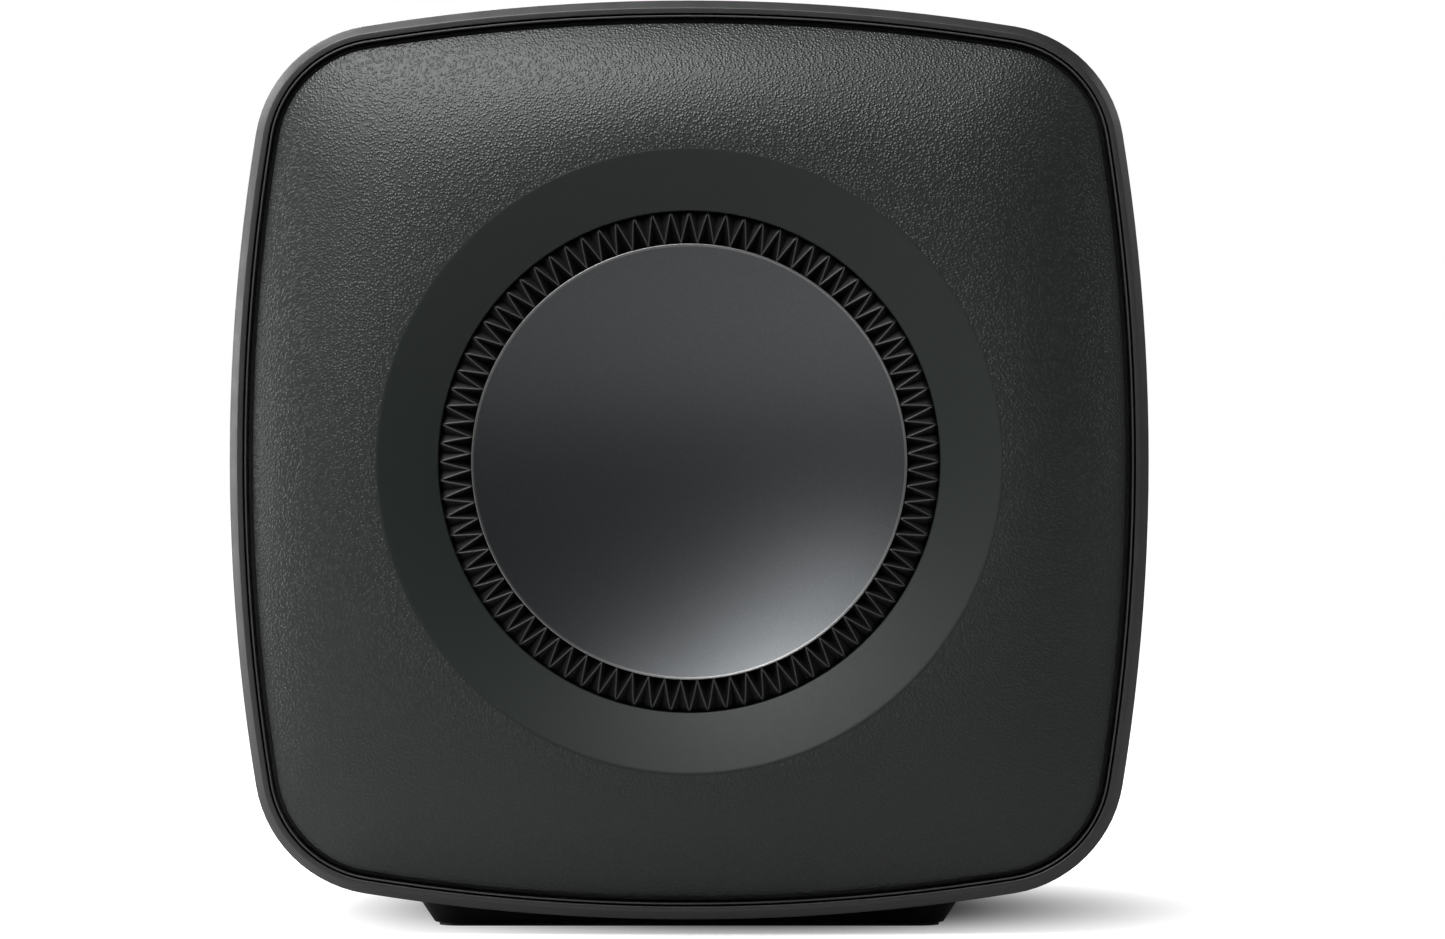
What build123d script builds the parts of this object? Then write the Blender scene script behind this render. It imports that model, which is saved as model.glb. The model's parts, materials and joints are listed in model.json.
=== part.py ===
from build123d import *
import math
import os

# Compact powered subwoofer with two side-firing drivers, in millimetres.
# +Z is up, the plain front faces -Y, the connector panel faces +Y, and the drivers fire along +X and -X.
# The origin is the middle of the rubber pad's underside. Each sub-part is written to parts/NAME.step.

# ---- driving dimensions: cabinet ----
total_height = 246.0
total_width = 256.0          # from dome to dome, along X
total_depth = 248.0          # from the front skin to the faces of the rear knobs, along Y
section_size = 242.0         # height and depth of the extruded wrap
wrap_length = 230.0          # along X
side_radius = 539.0          # the long, slightly bowed sides of the wrap's section
corner_radius = 34.25
wrap_wall = 3.5
rim_chamfer = 2.1
panel_inset = 6.2            # from the wrap's outer skin to the edge of the side panel
panel_wall = 5.0
dome_start = 50.0            # degrees into its ellipse where the dome's profile leaves the edge
panel_setback = 0.0          # from the wrap's rim to the panel's outer edge
frame_depth = 4.0            # of each end frame, along X
frame_inset = 16.0           # of its inner edge from the wrap's outer skin
frame_x = 99.0               # outer face of each end frame
gasket_t = 1.0
bond_gap = 0.05              # glue line between the wrap and what is bonded inside it
seal_t = 5.0                 # the flat part of the edge seal, along X
seal_lip_inset = 3.95        # from the wrap's outer skin to the seal's lip
seal_lip_t = 0.5
seal_lip_setback = 0.4       # the lip's edge below the wrap's rim
tie_rod_radius = 4.0
tie_rod_reach = 53.0         # Y and Z of each tie rod from the driver axis
tie_rod_thread = (1.7, 12.0)     # radius and depth of the tapped hole in each end
light_z = 34.0
light_radius = 1.4

# ---- driving dimensions: plinth ----
plinth_half_depth = 74.0     # along Y, where the plinth meets the wrap
plinth_half_width = 85.0     # along X
plinth_corner = 13.0
plinth_foot_radius = 0.6     # rounding of its lower edge
plinth_draft = 5.6           # how much narrower the plinth is at its foot, on each side
plinth_top = 9.2             # where its sides meet the wrap
pad_thickness = 0.8
pad_inset = 1.2
plinth_screw_half = (55.0, 45.0)     # X and Y of the plinth screws
plinth_screw_head = (3.8, 1.9)       # radius and height
screw_well_depth = 2.0

# ---- driving dimensions: drivers ----
driver_drop = 0.5            # the driver axis sits this far below the middle of the section
ring_radius = 82.0           # outer edge of the trim ring
ring_recess = 6.7            # how far the trim ring falls from its outer to its inner edge
surround_radius = 65.6       # outer visible edge of the surround
cone_radius = 57.2
cone_depth = 13.0
cone_thickness = 1.2
cone_setback = 0.5           # the cone's edge below the trim ring's inner edge
diaphragm_travel = 7.0       # each way, along X
flange_drop = 4.4            # the basket flange below the trim ring's inner edge
roll_drop = 0.6              # the top of the surround's roll below that edge
roll_t = 3.2
flange_t = 2.5
flange_radius = 81.4
basket_gasket_t = 0.8
shelf_t = 4.2                # the panel's shelf that carries the basket
shelf_radius = 68.0          # bore of that shelf
basket_foot_x = 56.0
basket_foot_t = 3.0
basket_wall = (50.0, 53.5)   # inner and outer radius at the foot
basket_foot_radius = 30.0
basket_window = (14.0, 40.0, 90.0)   # half width, and the nearest and furthest distance from the axis
top_plate_t = 8.0
magnet_t = 22.0
yoke_plate_t = 8.0
motor_radius = 50.0
magnet_bore = 31.0
pole_radius = 24.0
vent_radius = 8.0
former_radius = 24.7         # inside
former_t = 0.4
coil_t = 1.2
gap_radius = 27.3            # bore of the top plate
spider_x = 70.0
spider_t = 0.8
spider_ripple = 0.9
spider_ripples = 3
spider_ledge = (46.5, 53.4)  # inner and outer radius of the basket's ledge under it
spacer_radii = (36.0, 46.0)
basket_screw_circle = 74.8
tie_screw = (1.65, 3.4, 2.0, 16.0)       # shank radius, head radius, head height, length
basket_screw = (1.5, 3.0, 1.8, 7.0)

# ---- driving dimensions: connector panel. Places are (x, z), z from the middle of the section ----
rear_opening = (150.0, 170.0)    # the cut-out for the panel, X by Z
rear_opening_corner = 8.0
rear_plate_thickness = 4.0
plate_y = 113.0              # outer face of the panel
rear_window = (134.0, 152.0)     # the opening inside the frame behind it
rear_window_corner = 6.0
rear_frame_size = (170.0, 188.0)
rear_frame_t = 5.2
rear_gasket_t = 0.8
rear_screw_half = (70.0, 80.3)
rear_screw_seat = 1.8        # how far each screw head is let in
rear_screw = (1.25, 2.7, 1.5, 9.0)       # shank radius, head radius, head height, length
fit = 0.3                    # clearance round inserted parts
hole_fit = 0.2               # clearance round each socket in the panel
knob_radius = 9.0
knob_flutes = 24
knob_gap = 0.6               # between each knob and the panel
shaft_radius = 3.0
bush_radius = 3.4
knob_places = {"volume_knob": (-54.0, 6.0), "crossover_knob": (-27.0, 6.0), "eq_knob": (0.0, 6.0)}
pot_size = (11.0, 12.0)
slider_places = {"phase_slider": (32.0, 6.0), "mode_slider": (54.0, 6.0)}
slider_stroke = 4.0
slider_size = (4.0, 3.2)
slider_slot = (9.4, 4.0)
slide_body = (14.0, 8.0)
rca_places = [(-56.0, -26.0), (-40.0, -26.0), (-20.0, -26.0), (-4.0, -26.0)]
rca_reach = 9.0
rca_radius = 4.15
rca_collar_radius = 5.0
terminal_place, terminal_size = (23.0, -26.0), (22.0, 10.0)
terminal_mouth = (19.6, 7.6)
terminal_depth = 8.0
terminal_ways, terminal_pitch = 4, 5.0
bay_place, bay_size = (54.0, -26.0), (26.0, 16.0)
bay_mouth, bay_depth = (23.6, 13.6), 9.0
inlet_place, inlet_size = (-36.0, -60.0), (28.0, 20.0)
inlet_flange, inlet_flange_t = (46.0, 24.0), 2.0
inlet_recess, inlet_depth = (24.0, 16.4), 16.0
inlet_ear = 19.0             # from the middle of the inlet to each of its fixing holes
inlet_blades = ((-7.0, 1.0), (7.0, 1.0), (0.0, 5.0))
blade_size = (2.0, 4.0)
rocker_place, rocker_size = (6.0, -60.0), (13.0, 21.0)
rocker_bezel, rocker_bezel_t = (16.0, 24.0), 1.6
rocker_well, rocker_well_depth = (11.0, 18.8), 12.0
rocker_half, rocker_width = 8.4, 10.4
rocker_rise = 1.5            # of each end of the rocker's shallow V above its middle
rocker_tilt = 9.0            # degrees, pressed in at its top
rocker_pivot_depth = 3.0
usb_place, usb_size, usb_mouth = (34.0, -60.0), (10.0, 4.5), (8.4, 2.9)
trigger_place, trigger_radius, trigger_bore = (54.0, -60.0), 3.1, 1.8
heatsink_half = 66.0
heatsink_low, heatsink_high = 30.0, 73.0
heatsink_base_t = 2.5
fin_count = 17
fin_t = 2.0
fin_reach = 10.0             # from the panel, before the tips are cut to the wrap's curve
fin_proud = 1.4              # how far the fin tips stand outside the wrap's curve

# ---- driving dimensions: electronics ----
board_t = 1.6
amp_board_y = 92.0
input_board_y = 98.2
tray_top = 14.0
tray_wall = 2.0
power_board_z = 18.0
reservoir = (12.0, 32.4)     # radius and height of each capacitor on the power board
reservoir_places = ((-50, -34), (-50, -6), (-22, -34))
rail_capacitor = (8.5, 26.0)
device_size = (14.0, 18.0, 4.0)
device_row = 66.0            # height above the middle of the section
choke_places = (-20, 10, 40)
lead_radius = 1.2

# ---- places worked out from them ----
half_section = section_size / 2
middle_z = total_height - half_section
driver_z = middle_z - driver_drop
rim_x = wrap_length / 2
apex_x = total_width / 2
panel_edge_x = rim_x - panel_setback
panel_foot_x = frame_x + gasket_t
surround_x = apex_x - ring_recess - 0.4      # level of the trim ring's inner edge
flange_x = surround_x - flange_drop          # outer face of the basket flange
shelf_x = flange_x - flange_t - basket_gasket_t
cone_edge_x = surround_x - cone_setback
coil_half_length = top_plate_t / 2 + diaphragm_travel - 1    # stays in the gap over the whole travel
magnet_x = basket_foot_x - top_plate_t
yoke_x = magnet_x - magnet_t
knob_face_y = total_depth - half_section
plate_back_y = plate_y - rear_plate_thickness
socket_y = input_board_y + board_t           # where the sockets stand on the input board
rocker_pivot_y = plate_y - rocker_pivot_depth
through = 1.0                # how far a cut runs past the faces that it opens

written = []


def save(shape, name):
    """Writes one sub-part."""
    solids = shape.solids() if hasattr(shape, "solids") else [shape]
    part = solids[0] if len(solids) == 1 else Compound(children=list(solids))
    part.label = name
    export_step(part, f"parts/{name}.step")
    written.append(name)


def both_sides(shape):
    """A right-hand solid and its mirror image on the left."""
    return [shape, mirror(shape, about=Plane.YZ)]


def save_pair(shape, name):
    """Writes the right-hand sub-part and its mirror image on the left."""
    for side, solid in zip(("right", "left"), both_sides(shape)):
        save(solid, f"{name}_{side}")


def group(shapes):
    return Compound(children=[s for shape in shapes for s in shape.solids()])


# ---- the section of the wrap: four bowed sides and four corners, all tangent ----
def section_arcs(inset):
    """Start, middle and end of each of the eight arcs, going round from the +Y side's lower end."""
    reach = half_section - inset
    side_r = side_radius - inset
    corner_r = corner_radius - inset
    back = side_r - reach
    # the corner centre is at (c, c), and the two centres are side_r - corner_r apart
    c = (-back + math.sqrt(2 * (side_r - corner_r) ** 2 - back ** 2)) / 2
    half_angle = math.atan2(c, c + back)
    arcs = []
    for quarter in range(4):
        turn = quarter * math.pi / 2

        def spun(x, y, a=turn):
            return (x * math.cos(a) - y * math.sin(a), x * math.sin(a) + y * math.cos(a))

        def on_side(a):
            return spun(-back + side_r * math.cos(a), side_r * math.sin(a))

        def on_corner(a):
            return spun(c + corner_r * math.cos(a), c + corner_r * math.sin(a))

        arcs.append((on_side(-half_angle), on_side(0), on_side(half_angle)))
        arcs.append((on_corner(half_angle), on_corner(math.pi / 4), on_corner(math.pi / 2 - half_angle)))
    return arcs


def skin_reach(offset):
    """How far the wrap's skin stands from the middle of the section, at this distance along a side."""
    return half_section - side_radius + math.sqrt(side_radius ** 2 - offset ** 2)


def side_plane(x, z=middle_z):
    """A plane across X whose own axes are Y and Z."""
    return Plane(origin=(x, 0, z), x_dir=(0, 1, 0), z_dir=(1, 0, 0))


def arc_face(arcs, plane):
    edges = [ThreePointArc(*arc) for arc in arcs]
    return plane * make_face(edges)


def section_slab(inset, x0, x1):
    """The wrap's section, made smaller by inset, from x0 to x1."""
    return extrude(arc_face(section_arcs(inset), side_plane(x0)), x1 - x0)


def section_ring(inset_out, inset_in, x0, x1):
    return section_slab(inset_out, x0, x1) - section_slab(inset_in, x0 - through, x1 + through)


def turned(points):
    """A solid of revolution about the driver axis. Each point is (x, radius)."""
    face = make_face(Polyline(*points, close=True))
    return Pos(0, 0, driver_z) * revolve(face, Axis.X)


def disc(x0, x1, r_out, r_in=0.0):
    return turned([(x0, r_in), (x1, r_in), (x1, r_out), (x0, r_out)])


def rod_x(x0, x1, r, y, z):
    return Pos((x0 + x1) / 2, y, z) * Rot(0, 90, 0) * Cylinder(r, x1 - x0)


def rod_y(x, z, r, y0, y1):
    return Pos(x, (y0 + y1) / 2, z) * Rot(90, 0, 0) * Cylinder(r, y1 - y0)


def rod_z(x, y, r, z0, z1):
    return Pos(x, y, (z0 + z1) / 2) * Cylinder(r, z1 - z0)


def block(x0, x1, y0, y1, z0, z1):
    return Pos((x0 + x1) / 2, (y0 + y1) / 2, (z0 + z1) / 2) * Box(x1 - x0, y1 - y0, z1 - z0)


def rear_block(x, z, width, height, y0, y1, corner=0.0):
    """A block behind or on the rear panel, placed by its middle, z from the section's middle."""
    face = RectangleRounded(width, height, corner) if corner else Rectangle(width, height)
    # this plane's own x axis is +X and its own y axis is +Z, so it faces -Y
    plane = Plane(origin=(x, y1, middle_z + z), x_dir=(1, 0, 0), z_dir=(0, -1, 0))
    return extrude(plane * face, y1 - y0)


def ring_places(count, radius, first_angle):
    """(y, z) of places round the driver axis."""
    for k in range(count):
        a = math.radians(first_angle + 360 * k / count)
        yield radius * math.cos(a), driver_z + radius * math.sin(a)


# ---- places shared by several sub-parts ----
rod_places = [(sy * tie_rod_reach, driver_z + sz * tie_rod_reach) for sy in (1, -1) for sz in (1, -1)]
basket_screw_places = list(ring_places(8, basket_screw_circle, 22.5))
plinth_screw_places = [
    (sx * plinth_screw_half[0], sy * plinth_screw_half[1]) for sx in (1, -1) for sy in (1, -1)
]
rear_screw_places = [
    (sx * rear_screw_half[0], sz * rear_screw_half[1])
    for sx in (1, 0, -1) for sz in (1, 0, -1) if sx or sz
]


# ---- cabinet ----
def make_wrap():
    wrap = section_slab(0, -rim_x, rim_x)
    ends = wrap.faces().filter_by(Axis.X)
    wrap = chamfer(ends.edges(), rim_chamfer)
    wrap -= section_slab(wrap_wall, -rim_x - through, rim_x + through)
    width, height = rear_opening
    wrap -= rear_block(0, 0, width, height, plate_back_y - 8, half_section + through, rear_opening_corner)
    skin = skin_reach(light_z - middle_z)
    wrap -= rod_y(0, light_z, light_radius + 0.1, -skin - through, 2 * wrap_wall - skin)
    for x, y in plinth_screw_places:
        wrap -= rod_z(x, y, 2.2, 0, tray_top)
    return wrap


def make_end_frame():
    """The cast ring bonded inside each end of the wrap, which the side panel is drawn against."""
    return section_ring(wrap_wall + bond_gap, frame_inset, frame_x - frame_depth, frame_x)


def make_panel_gasket():
    return section_ring(panel_inset + fit, frame_inset - 1, frame_x, panel_foot_x)


def make_edge_seal():
    """A soft channel in the gap round the side panel, with one thin upright lip."""
    channel = section_ring(wrap_wall + 0.1, panel_inset - 0.1, frame_x, frame_x + seal_t)
    lip = section_ring(
        seal_lip_inset, seal_lip_inset + seal_lip_t, frame_x + seal_t, rim_x - seal_lip_setback
    )
    return channel + lip


def dome_section(inset, share, final_radius, x):
    """The panel's outline at x, which turns from the rounded square into a circle as share goes to 1."""
    arcs = []
    for arc in section_arcs(inset):
        points = []
        for u, v in arc:
            angle = math.atan2(v, u)
            cu = final_radius * math.cos(angle)
            cv = final_radius * math.sin(angle) - driver_drop
            points.append((u + (cu - u) * share, v + (cv - v) * share))
        arcs.append(points)
    return arc_face(arcs, side_plane(x))


def dome(inset, final_radius, foot_x, top_x):
    """A pillow that rises from the rounded-square outline to a flat circle, elliptical in profile."""
    steps = 8
    start = math.radians(dome_start)
    sections = []
    for k in range(steps + 1):
        a = start + (math.pi / 2 - start) * k / steps
        rise = (math.sin(a) - math.sin(start)) / (1 - math.sin(start))
        share = 1 - math.cos(a) / math.cos(start)
        x = foot_x + (top_x - foot_x) * rise
        sections.append(dome_section(inset, share, final_radius, x))
    return loft(sections)


def make_side_panel():
    bore = ring_radius + 0.15
    body = section_slab(panel_inset, panel_foot_x, panel_edge_x)
    body += dome(panel_inset, bore + 0.25, panel_edge_x, apex_x)
    inner = panel_inset + panel_wall
    cavity = section_slab(inner, panel_foot_x - through, panel_edge_x)
    cavity += dome(inner, bore + 8, panel_edge_x, apex_x - panel_wall)
    low, high = shelf_x - shelf_t - through, shelf_x + through
    cavity -= disc(shelf_x - shelf_t, apex_x + through, bore + 4)
    panel = body - cavity
    panel -= disc(shelf_x, apex_x + through, bore)
    panel -= disc(low, high, shelf_radius)
    for y, z in rod_places:
        panel -= rod_x(low, high, 2.2, y, z)
    for y, z in basket_screw_places:
        panel -= rod_x(low, high, basket_screw[0] + 0.05, y, z)
    return panel


def make_trim_ring():
    """A conical recess ring, hollow underneath where it covers the screw heads."""
    inner, outer = surround_radius + 0.2, ring_radius - 0.1
    slope = ring_recess / (outer - 0.5 - inner)
    foot_x = flange_x + 0.9
    return turned([
        (foot_x, inner),
        (foot_x, 69.5),
        (surround_x + 0.6, 69.5),
        (surround_x + 4.6, 79.4),
        (flange_x, 79.4),
        (flange_x, outer),
        (apex_x - 0.5, outer),
        (apex_x - 0.25, outer - 0.15),
        (apex_x - 0.4, outer - 0.5),
        (surround_x + slope * 0.6, inner + 0.6),
        (surround_x - 0.2, inner),
    ])


def make_tie_rods():
    reach = shelf_x - shelf_t
    thread_r, thread_depth = tie_rod_thread
    rods = []
    for y, z in rod_places:
        rod = rod_x(-reach, reach, tie_rod_radius, y, z)
        for end in (-reach, reach):
            rod -= rod_x(end - thread_depth, end + thread_depth, thread_r, y, z)
        rods.append(rod)
    return group(rods)


def make_driver_screw(y, z, shank_r, head_r, head_t, length):
    """A pan-head screw through the basket flange, pointing inward along X, with a cross recess."""
    top_x = flange_x + head_t
    head = rod_x(flange_x, top_x, head_r, y, z)
    for wide, high in ((1.6, 0.4), (0.4, 1.6)):
        head -= block(top_x - 1, top_x + through, y - wide, y + wide, z - high, z + high)
    return head + rod_x(flange_x - length, flange_x, shank_r, y, z)


def make_driver_screws():
    screws = [make_driver_screw(y, z, *tie_screw) for y, z in rod_places]
    screws += [make_driver_screw(y, z, *basket_screw) for y, z in basket_screw_places]
    return group([s for screw in screws for s in both_sides(screw)])


# ---- drivers ----
def make_basket():
    wall_in, wall_out = basket_wall
    basket = turned([
        (flange_x, surround_radius - 1),
        (flange_x, flange_radius),
        (flange_x - flange_t, flange_radius),
        (flange_x - flange_t, shelf_radius - 0.6),
        (basket_foot_x + 4, wall_out),
        (basket_foot_x, wall_out),
        (basket_foot_x, basket_foot_radius),
        (basket_foot_x + basket_foot_t, basket_foot_radius),
        (basket_foot_x + basket_foot_t, wall_in),
        (flange_x - 4, surround_radius - 1.4),
    ])
    ledge_in, ledge_out = spider_ledge
    basket += disc(spider_x - 2, spider_x, ledge_out, ledge_in)
    half, near, far = basket_window
    window = block(spider_x + 4, flange_x - 10, -half, half, near, far)
    for k in range(6):
        basket -= Pos(0, 0, driver_z) * Rot(60 * k, 0, 0) * window
    for y, z in basket_screw_places + rod_places:
        basket -= rod_x(flange_x - flange_t - through, flange_x + through, 2.2, y, z)
    return basket


def make_basket_gasket():
    ring = disc(shelf_x, shelf_x + basket_gasket_t, flange_radius - 0.2, shelf_radius + 0.4)
    for y, z in basket_screw_places + rod_places:
        ring -= rod_x(shelf_x - through, shelf_x + 2 * through, 2.2, y, z)
    return ring


def make_surround():
    """The plain envelope of the pleated rubber: a glued flange and the moving roll."""
    top = surround_x - roll_drop
    flange_top = flange_x + 0.8
    inner, outer = cone_radius + 0.4, surround_radius - 0.6
    return turned([
        (flange_x, outer),
        (flange_x, outer + 4.2),
        (flange_top, outer + 4.2),
        (flange_top, surround_radius),
        (top, outer - 0.1),
        (top, inner + 0.8),
        (top - 0.6, inner),
        (top - roll_t, inner),
        (top - roll_t, outer),
    ])


def dish_x(radius, offset):
    """How far out the dish's face is at a radius, when the face is moved back by offset."""
    sphere = (cone_radius ** 2 + cone_depth ** 2) / (2 * cone_depth)
    return cone_edge_x - cone_depth - offset + sphere - math.sqrt(sphere ** 2 - radius ** 2)


def dish_arc(offset):
    """The dish's profile at its centre, half way out and at its edge. Each point is (x, radius)."""
    return [(dish_x(r, offset), r) for r in (0, cone_radius / 2, cone_radius)]


def make_cone():
    front, back = dish_arc(0), dish_arc(cone_thickness)
    edges = [
        ThreePointArc(*front),
        Line(front[2], back[2]),
        ThreePointArc(*back),
        Line(back[0], front[0]),
    ]
    return Pos(0, 0, driver_z) * revolve(make_face(edges), Axis.X)


def make_voice_coil():
    """The thin former glued to the back of the cone, and the winding round it in the magnet's gap."""
    mid = magnet_x + top_plate_t / 2
    outer = former_radius + former_t
    top = dish_x(former_radius, cone_thickness) - bond_gap
    former = disc(mid - coil_half_length - 2, top, outer, former_radius)
    winding = disc(mid - coil_half_length, mid + coil_half_length, outer + coil_t, outer)
    return group([former, winding])


def make_spider():
    """The corrugated centring disc, between the coil former and the basket's ledge."""
    inner, ledge = former_radius + former_t + 0.3, spider_ledge[0] - 0.1
    outer = basket_wall[1] - 1.9
    top, bottom = [], []
    count = 4 * spider_ripples
    for k in range(count + 1):
        r = inner + (ledge - inner) * k / count
        wave = spider_ripple * math.sin(2 * math.pi * spider_ripples * k / count)
        bottom.append((spider_x + wave, r))
        top.append((spider_x + wave + spider_t, r))
    bottom.append((spider_x, outer))
    top.append((spider_x + spider_t, outer))
    return turned(bottom + top[::-1])


def make_yoke():
    plate = disc(yoke_x - yoke_plate_t, yoke_x, motor_radius, vent_radius)
    pole = disc(yoke_x, basket_foot_x + 1, pole_radius, vent_radius)
    return plate + pole


def make_motor_spacer():
    """The windowed tube that holds the two motors back to back."""
    reach = yoke_x - yoke_plate_t
    inner, outer = spacer_radii
    spacer = disc(-reach, reach, outer, inner)
    window = block(-reach + 6, reach - 6, -12, 12, inner / 2, outer + 14)
    for k in range(3):
        spacer -= Pos(0, 0, driver_z) * Rot(120 * k, 0, 0) * window
    return spacer


# ---- rear panel, controls and sockets ----
def rear_holes(radius, y0, y1):
    """The holes for the connector panel's screws, as one cutter each."""
    return [rod_y(x, middle_z + z, radius, y0, y1) for x, z in rear_screw_places]


def make_rear_frame():
    """The inner frame that backs the rear panel, bonded inside the wrap round the cut-out."""
    face_y = plate_back_y - rear_gasket_t
    frame = rear_block(0, 0, *rear_frame_size, face_y - rear_frame_t, face_y, 10)
    frame -= rear_block(0, 0, *rear_window, face_y - 10, face_y + 5, rear_window_corner)
    for hole in rear_holes(rear_screw[0] + 0.05, face_y - 10, face_y + 2):
        frame -= hole
    return frame & section_slab(wrap_wall + bond_gap, -frame_x, frame_x)


def make_rear_gasket():
    width, height = rear_opening
    low, high = plate_back_y - rear_gasket_t, plate_back_y
    ring = rear_block(0, 0, width - 1, height - 1, low, high, rear_opening_corner)
    ring -= rear_block(0, 0, *rear_window, low - through, high + through, rear_window_corner)
    for hole in rear_holes(1.7, low - through, high + through):
        ring -= hole
    return ring


def make_rear_panel():
    width, height = rear_opening
    plate = rear_block(
        0, 0, width - 2 * fit, height - 2 * fit, plate_back_y, plate_y, rear_opening_corner - fit
    )
    plate = chamfer(plate.faces().sort_by(Axis.Y)[-1].edges(), 0.6)
    low, high = plate_back_y - through, plate_y + through
    for hole in rear_holes(1.7, low, high) + rear_holes(3.0, plate_y - rear_screw_seat, high):
        plate -= hole
    round_holes = [(place, bush_radius + hole_fit) for place in knob_places.values()]
    round_holes += [(place, rca_collar_radius + hole_fit) for place in rca_places]
    round_holes.append((trigger_place, trigger_radius + 0.1))
    for (x, z), radius in round_holes:
        plate -= rod_y(x, middle_z + z, radius, low, high)
    for x, z in slider_places.values():
        plate -= rear_block(x, z, *slider_slot, low, high, 0.8)
    for (x, z), (wide, tall) in (
        (terminal_place, terminal_size),
        (bay_place, bay_size),
        (inlet_place, inlet_size),
        (rocker_place, rocker_size),
        (usb_place, usb_size),
    ):
        plate -= rear_block(x, z, wide + 2 * hole_fit, tall + 2 * hole_fit, low, high, 1.0)
    return plate


def make_heatsink():
    """A finned plate on the rear panel, its fin tips cut to the wrap's curve."""
    mid = (heatsink_low + heatsink_high) / 2
    height = heatsink_high - heatsink_low
    sink = rear_block(0, mid, 2 * heatsink_half, height, plate_y, plate_y + heatsink_base_t, 1.5)
    curve = section_slab(-fin_proud, -heatsink_half, heatsink_half)
    for k in range(fin_count):
        x = (heatsink_half - fin_t) * (2 * k / (fin_count - 1) - 1)
        fin = rear_block(x, mid, fin_t, height - 3, plate_y + fin_t, plate_y + fin_reach) & curve
        tip = fin.faces().sort_by(Axis.Y)[-1]
        sink += fillet(tip.edges().sort_by(SortBy.LENGTH)[-2:], 0.6)
    return sink


def make_rear_screw(x, z):
    """A screw for the rear panel, pointing inward along Y, with a cross recess."""
    shank_r, head_r, head_t, length = rear_screw
    seat_y = plate_y - rear_screw_seat
    head = rod_y(x, z, head_r, seat_y, seat_y + head_t)
    for wide, high in ((1.7, 0.4), (0.4, 1.7)):
        head -= block(x - wide, x + wide, seat_y + 0.7, seat_y + 3, z - high, z + high)
    return head + rod_y(x, z, shank_r, seat_y - length, seat_y)


def make_knob(place):
    """A fluted control knob with a pointer groove, bored for the control's shaft."""
    x, z = place[0], middle_z + place[1]
    base_y = plate_y + knob_gap
    knob = rod_y(x, z, knob_radius, base_y, knob_face_y)
    rim = knob.faces().sort_by(Axis.Y)[-1].edges()
    knob = chamfer(rim, 0.8)
    for k in range(knob_flutes):
        a = 2 * math.pi * k / knob_flutes
        fx, fz = x + (knob_radius + 0.25) * math.cos(a), z + (knob_radius + 0.25) * math.sin(a)
        knob -= rod_y(fx, fz, 0.7, base_y + 1.5, knob_face_y + through)
    knob -= block(x - 0.5, x + 0.5, knob_face_y - 0.6, knob_face_y + through, z + 2, z + 8)
    knob -= rod_y(x, z, shaft_radius + 0.06, base_y - through, knob_face_y - 3)
    return knob


def make_pots():
    """The three rotary controls behind the knobs: a can, a bushing and a shaft each."""
    pots = []
    for x, dz in knob_places.values():
        z = middle_z + dz
        pot = rear_block(x, dz, *pot_size, socket_y, plate_back_y, 0.8)
        pot += rod_y(x, z, bush_radius, plate_back_y - through, plate_y + 0.3)
        pot += rod_y(x, z, shaft_radius, plate_y, knob_face_y - 3.3)
        pots.append(pot)
    return group(pots)


def make_slider(place):
    """The lever of a slide switch, drawn at the +X end of its travel."""
    x, z = place
    lever = rear_block(x + slider_stroke / 2, z, *slider_size, plate_back_y - 0.8, plate_y + 1.6)
    top = lever.faces().sort_by(Axis.Y)[-1].edges()
    return chamfer(top, 0.4)


def make_slide_bodies():
    bodies = []
    for x, z in slider_places.values():
        body = rear_block(x, z, *slide_body, socket_y, plate_back_y, 0.6)
        body -= rear_block(x, z, *slider_slot, plate_back_y - 3, plate_back_y + through)
        bodies.append(body)
    return group(bodies)


def make_rca():
    """Four phono sockets: a plated barrel on a round collar, with an insulated bore."""
    jacks = []
    end_y = plate_y + rca_reach
    for x, dz in rca_places:
        z = middle_z + dz
        jack = rod_y(x, z, rca_collar_radius, socket_y, plate_y + 1.2)
        jack += rod_y(x, z, rca_radius, plate_y, end_y)
        jack -= rod_y(x, z, 3.2, plate_y - 2, end_y + through)
        jacks.append(jack)
    return group(jacks)


def make_rca_inserts():
    inserts = []
    for x, dz in rca_places:
        z = middle_z + dz
        insert = rod_y(x, z, 3.15, plate_y - 2, plate_y + rca_reach - 0.4)
        insert -= rod_y(x, z, 1.6, plate_y - 1, plate_y + rca_reach + through)
        inserts.append(insert)
    return group(inserts)


def make_terminal():
    """A four-way pluggable header for speaker-level input."""
    x, z = terminal_place
    body = rear_block(x, z, *terminal_size, socket_y, plate_y + 1, 0.6)
    return body - rear_block(x, z, *terminal_mouth, plate_y - terminal_depth, plate_y + 2)


def make_aux_sockets():
    """The accessory bay, the service socket and the trigger socket."""
    x, z = bay_place
    bay = rear_block(x, z, *bay_size, socket_y, plate_y + 0.8, 1.0)
    bay -= rear_block(x, z, *bay_mouth, plate_y - bay_depth, plate_y + 2, 0.8)
    x, z = usb_place
    usb = rear_block(x, z, *usb_size, socket_y, plate_y + 0.4, 1.2)
    usb -= rear_block(x, z, *usb_mouth, plate_y - 8, plate_y + 2, 1.2)
    usb += rear_block(x, z, usb_mouth[0] - 2, 0.7, plate_y - 8, plate_y - 1)
    x, z = trigger_place[0], middle_z + trigger_place[1]
    jack = rod_y(x, z, trigger_radius, socket_y, plate_y + 1.2)
    jack -= rod_y(x, z, trigger_bore, plate_y - 9, plate_y + 2)
    return group([bay, usb, jack])


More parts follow.
